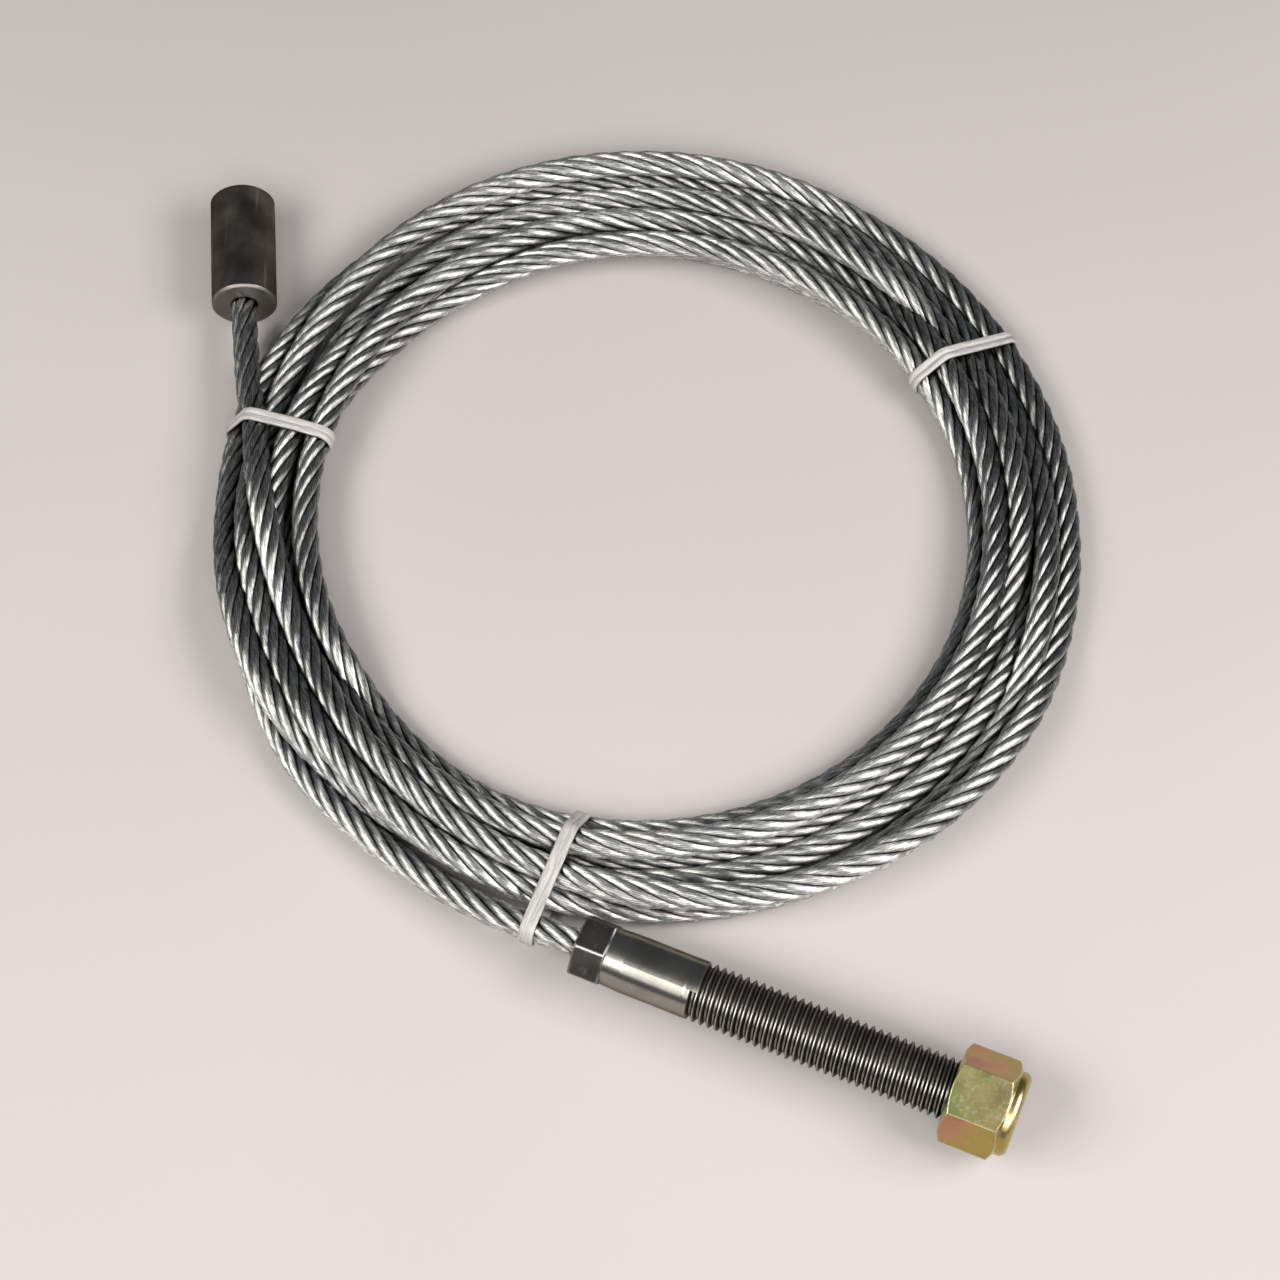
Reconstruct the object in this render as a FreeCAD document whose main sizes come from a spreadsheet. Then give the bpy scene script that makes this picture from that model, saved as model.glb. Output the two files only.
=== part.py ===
# Wire-rope lifting cable, coiled for storage: a stop plug swaged on one end and a threaded stud
# with a lock nut on the other.  Millimetres.  The frame's origin is on the floor under the middle
# of the end fittings, +Z is up, and the coil lies flat.
import math
import os

import FreeCAD
import Part
import Sketcher

Vec = FreeCAD.Vector
FULL_TURN = 360.0
FLANK = "30 deg"  # half the angle of a unified thread
CORNER_TO_FLAT = 30.0
SPARE = 1.0  # how far a cutting tool or an embedded root runs past the face it meets

# alias, value in mm (or degrees, or a count), meaning
DIMENSIONS = [
    ("frame_x", 20.6, "the coil's centre from the origin, along X"),
    ("frame_y", 47.6, "the coil's centre from the origin, along Y"),
    ("rope_dia", 9.3, "wire rope, outside its strands"),
    ("tie_thick", 1.0, "band tie, through its thickness"),
    ("tie_wide", 4.8, "band tie, across its width"),
    ("tie_gap", 0.15, "slack between a tie and the bundle"),
    ("tie_corner", 6.0, "inner corner radius of a tie's loop"),
    ("coil_inner", 111.6, "radius of the open middle of the coil"),
    ("coil_half_x", 147.6, "outer half width of the coil along X"),
    ("coil_half_y", 154.8, "outer half width of the coil along Y"),
    ("coil_shift", 5.3, "the outer oval's centre beyond the inner circle's, along Y"),
    ("coil_high", 17.6, "two layers of rope, the upper one lying in the grooves"),
    ("coil_round", 6.0, "rounding of the bundle's edges"),
    ("plug_dia", 23.0, "stop plug"),
    ("plug_long", 45.5, "stop plug"),
    ("plug_bore_deep", 23.0, "blind bore that the rope is swaged into"),
    ("plug_edge", 0.7, "chamfer of the plug's rims"),
    ("stud_high", 15.6, "height of the stud's level axis, which lets the nut turn over the floor"),
    ("stud_heading", -22.8, "turn of the stud's axis from +X, degrees"),
    ("hex_flats", 18.3, "stud's wrench hexagon, across flats"),
    ("hex_long", 10.0, "stud's wrench hexagon, along the axis"),
    ("hex_bevel_deep", 0.45, "bevel of the hexagon's rope end, across its corners"),
    ("hex_bevel_long", 1.1, "bevel of the hexagon's rope end, along the axis"),
    ("hex_roll", 25.5, "turn of the hexagon's upper corner from the vertical, degrees"),
    ("shank_start_dia", 18.3, "swaged shank beside the hexagon"),
    ("shank_taper", 6.0, "length of the shank's taper"),
    ("shank_dia", 18.9, "swaged shank beyond its taper"),
    ("shank_long", 26.6, "shank, from the hexagon to the first thread"),
    ("stud_bore_deep", 23.5, "blind bore that the rope is swaged into"),
    ("stud_bore_flare", 0.5, "bevel of that bore's mouth"),
    ("thread_dia", 19.0, "3/4-10 UNC thread, major diameter"),
    ("thread_pitch", 2.54, "ten threads to the inch"),
    ("thread_deep", 1.5, "depth of the thread"),
    ("thread_crest", 0.32, "flat left on each crest"),
    ("thread_long", 101.6, "four inches of thread"),
    ("thread_shoulder", 0.6, "step from the shank up to the thread's crests"),
    ("thread_point", 1.6, "chamfer of the stud's free end"),
    ("nut_at", 121.2, "the nut's bearing face, from the stud's rope end"),
    ("nut_flats", 27.0, "lock nut, across flats"),
    ("nut_hex_long", 17.8, "lock nut's hexagon, along the axis"),
    ("nut_long", 21.3, "lock nut with its collar"),
    ("nut_roll", 16.2, "turn of the nut's upper flat from the vertical, degrees"),
    ("nut_chamfer", 30.0, "slope of the nut's corner chamfers, degrees"),
    ("nut_face_inset", 0.4, "the round end faces' rim inside the nut's flats"),
    ("nut_bore_flare", 0.8, "bevel of the thread's entry into the nut"),
    ("collar_dia", 26.2, "collar that holds the insert"),
    ("collar_round", 2.4, "rounding of the collar's outer rim"),
    ("collar_lip_dia", 20.6, "opening of the rolled lip"),
    ("seat_dia", 23.0, "seat of the insert inside the collar"),
    ("seat_floor", 16.9, "floor of the insert's seat, from the bearing face"),
    ("insert_thick", 3.5, "locking insert"),
    ("insert_edge", 0.3, "bevel of the insert's inner edge"),
    ("run_gap", 0.08, "running clearance, each side"),
]

# The rope's free stretches, in mm from the coil's centre, with heights above the floor.
# Each list starts inside its fitting's bore, on the fitting's axis, and ends inside the bundle.
STUD_MOUTH = (-19.9, -159.7)
STUD_ROUTE = [(-52.0, -145.5, 10.0), (-80.5, -125.5, 5.9), (-103.0, -99.5, 5.7)]
STUD_RUN_OUT = 6.0
PLUG_MOUTH = (-141.6, 85.3)
PLUG_HEADING = 95.0
PLUG_ROUTE = [(-136.4, 42.0, 13.2), (-129.5, 12.0, 13.3)]
PLUG_RUN_OUT = 10.0

# name, middle of the tie in the bundle, heading across the bundle, inside width of its loop
TIES = [
    ("tie_left", (-126.5, 31.6), 166.0, 39.4),
    ("tie_right", (114.7, 64.6), 29.4, 41.0),
    ("tie_bottom", (-27.7, -133.6), 249.0, 52.0),
]

doc = FreeCAD.newDocument("lifting_cable")
sheet = doc.addObject("Spreadsheet::Sheet", "dims")


def fill_sheet():
    for row, (alias, value, meaning) in enumerate(DIMENSIONS, start=1):
        sheet.set(f"A{row}", meaning)
        sheet.set(f"B{row}", str(value))
        sheet.setAlias(f"B{row}", alias)
    doc.recompute()


def dim(alias):
    return float(getattr(sheet, alias))


def bind(target, prop, formula):
    target.setExpression(prop, formula)


def new_body(name):
    body = doc.addObject("PartDesign::Body", name)
    body.Label = name
    return body


def new_sketch(body, role, name):
    sketch = body.newObject("Sketcher::SketchObject", f"{body.Name}_{name}")
    plane = next(f for f in body.Origin.OriginFeatures if f.Role == role)
    sketch.AttachmentSupport = (plane, [""])
    sketch.MapMode = "FlatFace"
    return sketch


def outline(sketch, corners):
    """A closed outline of straight sides; each corner is a pair of formulas of the sheet's cells."""
    count = len(corners)
    places = [Vec(value_of(x), value_of(y), 0) for x, y in corners]
    for i in range(count):
        sketch.addGeometry(Part.LineSegment(places[i], places[(i + 1) % count]), False)
    for i in range(count):
        sketch.addConstraint(Sketcher.Constraint("Coincident", i, 2, (i + 1) % count, 1))
    for i, (x, y) in enumerate(corners):
        for kind, formula, value in (("DistanceX", x, places[i].x), ("DistanceY", y, places[i].y)):
            number = sketch.addConstraint(Sketcher.Constraint(kind, -1, 1, i, 1, value))
            bind(sketch, f"Constraints[{number}]", formula)


def value_of(formula):
    """The number that a formula of the sheet's cells gives."""
    cell = "Z1"
    sheet.set(cell, "=" + formula.replace("dims.", ""))
    sheet.recompute()
    number = float(sheet.get(cell))
    sheet.clear(cell)
    return number


def revolve(body, kind, name, corners):
    """A Revolution or Groove about the body's own Z axis."""
    sketch = new_sketch(body, "XZ_Plane", name + "_outline")
    outline(sketch, corners)
    doc.recompute()
    feature = body.newObject(f"PartDesign::{kind}", f"{body.Name}_{name}")
    feature.Profile = sketch
    feature.ReferenceAxis = (sketch, ["V_Axis"])
    feature.Angle = FULL_TURN
    doc.recompute()
    return feature


def hexagon_pad(body, name, flats, length):
    """A hexagonal prism along Z from the body's origin, with one corner towards +X."""
    sketch = new_sketch(body, "XY_Plane", name + "_outline")
    corners = []
    for k in range(6):
        corners.append((f"{flats} / sqrt(3) * cos({60 * k} deg)", f"{flats} / sqrt(3) * sin({60 * k} deg)"))
    outline(sketch, corners)
    doc.recompute()
    pad = body.newObject("PartDesign::Pad", f"{body.Name}_{name}")
    pad.Profile = sketch
    bind(pad, "Length", length)
    doc.recompute()
    return pad


def closed_edges(shape, kinds):
    """The names of the edges that are whole closed curves of the given kinds."""
    names = []
    for number, edge in enumerate(shape.Edges, start=1):
        if edge.isClosed() and type(edge.Curve).__name__ in kinds:
            names.append(f"Edge{number}")
    return names


def make_coil():
    """The whole bundle as one ring: a round open middle inside a slightly oval outside."""
    body = new_body("rope_coil")
    sketch = new_sketch(body, "XY_Plane", "outline")
    middle = Vec(0, dim("coil_shift"), 0)
    half_x, half_y = dim("coil_half_x"), dim("coil_half_y")
    oval = Part.Ellipse(middle + Vec(0, half_y, 0), middle + Vec(half_x, 0, 0), middle)
    sketch.addGeometry(oval, False)
    sketch.exposeInternalGeometry(0)
    long_axis, short_axis = 1, 2
    hole = sketch.addGeometry(Part.Circle(Vec(0, 0, 0), Vec(0, 0, 1), dim("coil_inner")), False)
    sketch.addConstraint(Sketcher.Constraint("Vertical", long_axis))
    sketch.addConstraint(Sketcher.Constraint("PointOnObject", 0, 3, -2))
    sketch.addConstraint(Sketcher.Constraint("Coincident", hole, 3, -1, 1))
    for args, formula in (
        (("Distance", long_axis, 2 * half_y), "2 * dims.coil_half_y"),
        (("Distance", short_axis, 2 * half_x), "2 * dims.coil_half_x"),
        (("DistanceY", -1, 1, 0, 3, dim("coil_shift")), "dims.coil_shift"),
        (("Radius", hole, dim("coil_inner")), "dims.coil_inner"),
    ):
        bind(sketch, f"Constraints[{sketch.addConstraint(Sketcher.Constraint(*args))}]", formula)
    doc.recompute()
    pad = body.newObject("PartDesign::Pad", "rope_coil_ring")
    pad.Profile = sketch
    bind(pad, "Length", "dims.coil_high")
    doc.recompute()
    soft_edges = body.newObject("PartDesign::Fillet", "rope_coil_edges")
    soft_edges.Base = (pad, closed_edges(pad.Shape, ("Ellipse", "Circle")))
    bind(soft_edges, "Radius", "dims.coil_round")
    body.Placement.Base = Vec(dim("frame_x"), dim("frame_y"), dim("tie_thick"))
    return body


def from_coil(x, y, z=0.0):
    """A point given from the coil's centre, in the part's frame."""
    return Vec(dim("frame_x") + x, dim("frame_y") + y, z)


def stud_axis():
    """The stud's mouth and the direction from it to the free end."""
    turn = math.radians(dim("stud_heading"))
    return from_coil(*STUD_MOUTH, dim("stud_high")), Vec(math.cos(turn), math.sin(turn), 0)


def plug_axis():
    """The plug's mouth and the direction from it to the far end; the plug lies on the floor."""
    turn = math.radians(PLUG_HEADING)
    return from_coil(*PLUG_MOUTH, dim("plug_dia") / 2), Vec(math.cos(turn), math.sin(turn), 0)


def along(base, way, roll=0.0):
    """Puts a body's Z axis along a direction, its +X side turned by roll from straight up."""
    side = Vec(0, 0, 1).cross(way).normalize()
    up = way.cross(side)
    turned = FreeCAD.Rotation(way, roll)
    x_axis = turned.multVec(up)
    y_axis = way.cross(x_axis)
    matrix = FreeCAD.Matrix(
        x_axis.x, y_axis.x, way.x, base.x,
        x_axis.y, y_axis.y, way.y, base.y,
        x_axis.z, y_axis.z, way.z, base.z,
        0, 0, 0, 1,
    )
    return FreeCAD.Placement(matrix)


def make_plug():
    body = new_body("stop_plug")
    revolve(body, "Revolution", "turned", [
        ("0", "dims.plug_bore_deep"),
        ("dims.rope_dia / 2", "dims.plug_bore_deep"),
        ("dims.rope_dia / 2", "dims.plug_edge / 2"),
        ("dims.rope_dia / 2 + dims.plug_edge / 2", "0"),
        ("dims.plug_dia / 2 - dims.plug_edge", "0"),
        ("dims.plug_dia / 2", "dims.plug_edge"),
        ("dims.plug_dia / 2", "dims.plug_long - dims.plug_edge"),
        ("dims.plug_dia / 2 - dims.plug_edge", "dims.plug_long"),
        ("0", "dims.plug_long"),
    ])
    body.Placement = along(*plug_axis())
    return body


def make_stud():
    """Wrench hexagon, swaged shank and long thread, turned from one bar."""
    body = new_body("threaded_stud")
    hexagon_pad(body, "hexagon", "dims.hex_flats", "dims.hex_long")
    corner = "dims.hex_flats / sqrt(3)"
    revolve(body, "Groove", "hexagon_corners", [
        (f"{corner} - dims.hex_bevel_deep", "0"),
        (f"{corner} + {SPARE}", "0"),
        (f"{corner} + {SPARE}", "dims.hex_bevel_long"),
        (corner, "dims.hex_bevel_long"),
    ])
    shank_end = "dims.hex_long + dims.shank_long"
    stud_end = f"{shank_end} + dims.thread_long"
    revolve(body, "Revolution", "bar", [
        ("0", "dims.hex_long"),
        ("dims.shank_start_dia / 2", "dims.hex_long"),
        ("dims.shank_dia / 2", "dims.hex_long + dims.shank_taper"),
        ("dims.shank_dia / 2", f"{shank_end} - dims.thread_shoulder"),
        ("dims.thread_dia / 2", shank_end),
        ("dims.thread_dia / 2", f"{stud_end} - dims.thread_point"),
        ("dims.thread_dia / 2 - dims.thread_point", stud_end),
        ("0", stud_end),
    ])
    revolve(body, "Groove", "rope_bore", [
        ("0", "0"),
        ("dims.rope_dia / 2 + dims.stud_bore_flare", "0"),
        ("dims.rope_dia / 2", "dims.stud_bore_flare"),
        ("dims.rope_dia / 2", "dims.stud_bore_deep"),
        ("0", "dims.stud_bore_deep"),
    ])
    cut_thread(body, f"{shank_end} + dims.thread_pitch")
    mouth, way = stud_axis()
    body.Placement = along(mouth, way, dim("hex_roll"))
    return body


def cut_thread(body, first_turn):
    """A right-hand 60 degree groove from the first turn to beyond the free end."""
    sketch = new_sketch(body, "XZ_Plane", "groove_outline")
    beyond = 0.2
    bottom = "dims.thread_dia / 2 - dims.thread_deep"
    top = f"dims.thread_dia / 2 + {beyond}"
    half_top = f"(dims.thread_pitch - dims.thread_crest) / 2 + {beyond} * tan({FLANK})"
    half_bottom = f"(dims.thread_pitch - dims.thread_crest) / 2 - dims.thread_deep * tan({FLANK})"
    outline(sketch, [
        (bottom, f"{first_turn} - ({half_bottom})"),
        (top, f"{first_turn} - ({half_top})"),
        (top, f"{first_turn} + {half_top}"),
        (bottom, f"{first_turn} + {half_bottom}"),
    ])
    doc.recompute()
    thread = body.newObject("PartDesign::SubtractiveHelix", "threaded_stud_thread")
    thread.Profile = sketch
    thread.ReferenceAxis = (sketch, ["V_Axis"])
    thread.Mode = "pitch-height-angle"
    bind(thread, "Pitch", "dims.thread_pitch")
    bind(thread, "Height", "dims.thread_long")
    thread.LeftHanded = False
    doc.recompute()


def make_nut():
    """The steel body of the lock nut: chamfered hexagon, and a collar rolled over the insert."""
    body = new_body("lock_nut")
    hexagon_pad(body, "hexagon", "dims.nut_flats", "dims.nut_hex_long")
    corner = "dims.nut_flats / sqrt(3)"
    face = "dims.nut_flats / 2 - dims.nut_face_inset"
    outside = f"{corner} + {SPARE}"
    slope = "tan(dims.nut_chamfer * 1 deg)"
    revolve(body, "Groove", "bearing_chamfer", [
        (face, "0"),
        (outside, "0"),
        (outside, f"({outside} - ({face})) * {slope}"),
    ])
    revolve(body, "Groove", "collar_chamfer", [
        (face, "dims.nut_hex_long"),
        (outside, f"dims.nut_hex_long - ({outside} - ({face})) * {slope}"),
        (outside, "dims.nut_hex_long"),
    ])
    collar = revolve(body, "Revolution", "collar", [
        ("0", f"dims.nut_hex_long - {SPARE}"),
        ("dims.collar_dia / 2", f"dims.nut_hex_long - {SPARE}"),
        ("dims.collar_dia / 2", "dims.nut_long"),
        ("0", "dims.nut_long"),
    ])
    rim = max(
        (e for e in collar.Shape.Edges if e.isClosed() and type(e.Curve).__name__ == "Circle"),
        key=lambda e: (round(e.CenterOfMass.z, 3), e.Curve.Radius),
    )
    number = next(i for i, e in enumerate(collar.Shape.Edges, start=1) if e.isSame(rim))
    rolled = body.newObject("PartDesign::Fillet", "lock_nut_rolled_rim")
    rolled.Base = (collar, [f"Edge{number}"])
    bind(rolled, "Radius", "dims.collar_round")
    doc.recompute()
    bore = "dims.thread_dia / 2 + dims.run_gap"
    revolve(body, "Groove", "bore_and_seat", [
        ("0", "0"),
        (f"{bore} + dims.nut_bore_flare", "0"),
        (bore, "dims.nut_bore_flare"),
        (bore, "dims.seat_floor"),
        ("dims.seat_dia / 2", "dims.seat_floor"),
        ("dims.seat_dia / 2", "dims.seat_floor + dims.insert_thick + 2 * dims.run_gap"),
        ("dims.collar_lip_dia / 2", "dims.seat_floor + dims.insert_thick + 2 * dims.run_gap"),
        ("dims.collar_lip_dia / 2", "dims.nut_long"),
        ("0", "dims.nut_long"),
    ])
    body.Placement = on_stud("nut_at", dim("nut_roll") + CORNER_TO_FLAT)
    return body


def on_stud(distance, roll=0.0):
    mouth, way = stud_axis()
    return along(mouth + way * dim(distance), way, roll)


def make_insert():
    """The locking ring of the nut, already threaded by use, in the collar's seat."""
    body = new_body("nut_insert")
    low = "dims.seat_floor + dims.run_gap"
    high = f"{low} + dims.insert_thick"
    inside = "dims.thread_dia / 2 + dims.run_gap"
    outside = "dims.seat_dia / 2 - dims.run_gap"
    revolve(body, "Revolution", "ring", [
        (inside, low),
        (outside, low),
        (outside, high),
        (f"{inside} + dims.insert_edge", high),
        (inside, f"{high} - dims.insert_edge"),
    ])
    body.Placement = on_stud("nut_at")
    return body


def rounded_box(name, long, wide, high, radius, place):
    """A box with its four edges along Y rounded, centred on its own origin in X and Y."""
    box = doc.addObject("Part::Box", f"{name}_block")
    for prop, formula in (("Length", long), ("Width", wide), ("Height", high)):
        bind(box, prop, formula)
    doc.recompute()
    rounded = doc.addObject("Part::Fillet", name)
    rounded.Base = box
    along_y = []
    for number, edge in enumerate(box.Shape.Edges, start=1):
        if abs(edge.tangentAt(edge.FirstParameter).y) > 0.5:
            along_y.append((number, radius, radius))
    rounded.Edges = along_y
    box.Placement.Base = place
    doc.recompute()
    return rounded


def make_tie(name, middle, heading, loop_wide):
    """A flat plastic band, closed round the bundle; it lies under the rope and holds it up."""
    thick, wide, gap = dim("tie_thick"), dim("tie_wide"), dim("tie_gap")
    inner_high = dim("coil_high") + gap
    corner = dim("tie_corner")
    outer = rounded_box(
        f"{name}_outer", f"{loop_wide} + 2 * dims.tie_thick", "dims.tie_wide",
        "dims.coil_high + dims.tie_gap + 2 * dims.tie_thick", corner + thick,
        Vec(-loop_wide / 2 - thick, -wide / 2, 0),
    )
    inner = rounded_box(
        f"{name}_inner", f"{loop_wide}", f"dims.tie_wide + 2 * {SPARE}",
        "dims.coil_high + dims.tie_gap", corner,
        Vec(-loop_wide / 2, -wide / 2 - SPARE, thick),
    )
    band = doc.addObject("Part::Cut", name)
    band.Label = name
    band.Base = outer
    band.Tool = inner
    band.Placement = FreeCAD.Placement(from_coil(*middle), FreeCAD.Rotation(Vec(0, 0, 1), heading))
    return band


def rounded_path(points):
    """Straight runs joined by tangent arcs, each as large as its two runs allow."""
    share = 0.45
    edges, radii = [], []
    start = points[0]
    for before, corner, after in zip(points, points[1:], points[2:]):
        back, ahead = (before - corner), (after - corner)
        reach = share * min(back.Length, ahead.Length)
        half_turn = (math.pi - back.getAngle(ahead)) / 2
        radii.append(reach / math.tan(half_turn))
        back.normalize()
        ahead.normalize()
        enter, leave = corner + back * reach, corner + ahead * reach
        inward = (back + ahead).normalize()
        cut_off = radii[-1] / math.cos(half_turn) - radii[-1]
        edges.append(Part.LineSegment(start, enter).toShape())
        edges.append(Part.Arc(enter, corner + inward * cut_off, leave).toShape())
        start = leave
    edges.append(Part.LineSegment(start, points[-1]).toShape())
    return Part.Wire(edges), radii


def make_tube(name, points):
    """A round rope along a route."""
    path, radii = rounded_path(points)
    radius = dim("rope_dia") / 2
    heading = points[1] - points[0]
    section = Part.Wire(Part.makeCircle(radius, points[0], heading))
    tube = doc.addObject("Part::Feature", name)
    tube.Label = name
    tube.Shape = path.makePipeShell([section], True, False)
    expected = math.pi * radius**2 * path.Length
    print(f"{name}: length {path.Length:.1f}, arc radii {[round(r, 1) for r in radii]},"
          f" volume {tube.Shape.Volume:.0f} of {expected:.0f}")
    return tube


def make_stud_tail():
    mouth, way = stud_axis()
    points = [mouth + way * dim("stud_bore_deep"), mouth - way * STUD_RUN_OUT]
    return make_tube("rope_stud_tail", points + [from_coil(*p) for p in STUD_ROUTE])


def make_plug_tail():
    mouth, way = plug_axis()
    points = [mouth + way * dim("plug_bore_deep"), mouth - way * PLUG_RUN_OUT]
    return make_tube("rope_plug_tail", points + [from_coil(*p) for p in PLUG_ROUTE])


def write_parts(parts):
    doc.recompute()
    for item in doc.Objects:
        assert not {"Invalid", "Error"} & set(item.State), (item.Name, item.State)
    for part in parts:
        shape = part.Shape
        assert not shape.isNull() and shape.isValid() and shape.Solids, part.Label
    os.makedirs("parts", exist_ok=True)
    for part in parts:
        part.Shape.exportStep(f"parts/{part.Label}.step")
        box = part.Shape.optimalBoundingBox(False)
        print(f"{part.Label}: volume {part.Shape.Volume:.0f}, x {box.XMin:.1f}..{box.XMax:.1f},"
              f" y {box.YMin:.1f}..{box.YMax:.1f}, z {box.ZMin:.2f}..{box.ZMax:.2f}")


fill_sheet()
sub_parts = [make_coil(), make_stud_tail(), make_plug_tail(), make_plug(), make_stud(), make_nut()]
sub_parts.append(make_insert())
for tie in TIES:
    sub_parts.append(make_tie(*tie))
write_parts(sub_parts)
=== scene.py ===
"""The looks of a coiled wire rope assembly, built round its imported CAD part.

The rope is one stranded mesh that follows one smooth curve: out of the threaded stud, six and a third
turns round the coil, and into the stop plug. Three plastic straps hold the coil. The plug, the stud, the
nut and the nut's insert are the CAD nodes themselves, with materials of their own.
Lengths are in millimetres, and become metres where a mesh, a light or the frame takes them.
"""

import math

import bpy
import numpy as np
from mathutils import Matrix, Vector


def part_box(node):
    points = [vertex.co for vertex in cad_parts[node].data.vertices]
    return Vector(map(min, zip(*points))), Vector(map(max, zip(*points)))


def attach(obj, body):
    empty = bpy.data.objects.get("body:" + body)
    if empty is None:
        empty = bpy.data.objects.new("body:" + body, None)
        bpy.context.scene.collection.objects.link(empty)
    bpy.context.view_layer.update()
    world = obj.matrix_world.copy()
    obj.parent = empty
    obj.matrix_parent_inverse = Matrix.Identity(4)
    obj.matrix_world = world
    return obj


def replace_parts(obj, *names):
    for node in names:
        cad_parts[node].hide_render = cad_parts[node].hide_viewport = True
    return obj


MM = 0.001

# ---------------------------------------------------------------- sizes and places

# The camera, and how far the floor reaches from the middle.
LOOK_AT = (19.2, 3.6, 0.0)
CAMERA_AT = (19.2, -423.0, 769.7)
LENS = 74.0
SENSOR = 36.0
FLOOR_REACH = 6000.0

# The rope: its diameter and length, its strands, the wires to a strand, and the length of one turn of a strand.
ROPE = 9.3
STRANDS = 6
WIRES = 12
LAY = 56.0
STRAND_RADIUS = ROPE / 6
CORE_RADIUS = 0.36 * ROPE / 2
RINGS_PER_LAY = 15
STRAND_SIDES = 10
CORE_SIDES = 6

STRAP_THICK = 1.0
STRAP_WIDE = 4.8
# A strap holds the ropes that pass it nearer than this, to either side of its CAD node's middle.
STRAP_REACH = 32.0

# The coil's centre, the height of a rope's centre on the floor with a strap under it, and the height at which
# TURNS gives the radius of a line of sight.
COIL_X, COIL_Y = 20.6, 47.6
LOWEST = STRAP_THICK + ROPE / 2
READ_AT = 9.0

# The fittings, as in the CAD part: where the rope enters, the level direction from there through the fitting
# in degrees, and how deep the rope sits. Lengths along a fitting start at its mouth. A pair named ENDS is where
# one part's look fades out and the next one's begins.
STUD_MOUTH = (0.7, -112.1, 15.6)
STUD_HEADING = -22.8
STUD_SEATED = 23.5
HEXAGON_ENDS = (10.4, 9.9)
SHANK_ENDS = (42.0, 37.5)
NUT_FROM, NUT_TO = 122.0, 139.0
NUT_ROLL = 16.2
PLUG_MOUTH = (-121.0, 132.9, 11.5)
PLUG_HEADING = 95.0
PLUG_SEATED = 23.0
PLUG_LONG = 45.5

# The rope from the stud to where the coil begins, and from where it ends to the plug, as in the CAD part, and
# how far it runs straight out of each fitting.
STUD_ROUTE = [(-31.4, -97.9, 10.0), (-59.9, -77.9, 5.9)]
PLUG_ROUTE = [(-115.8, 89.6, 13.2)]
STUD_RUN_OUT = 6.0
PLUG_RUN_OUT = 10.0

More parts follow.
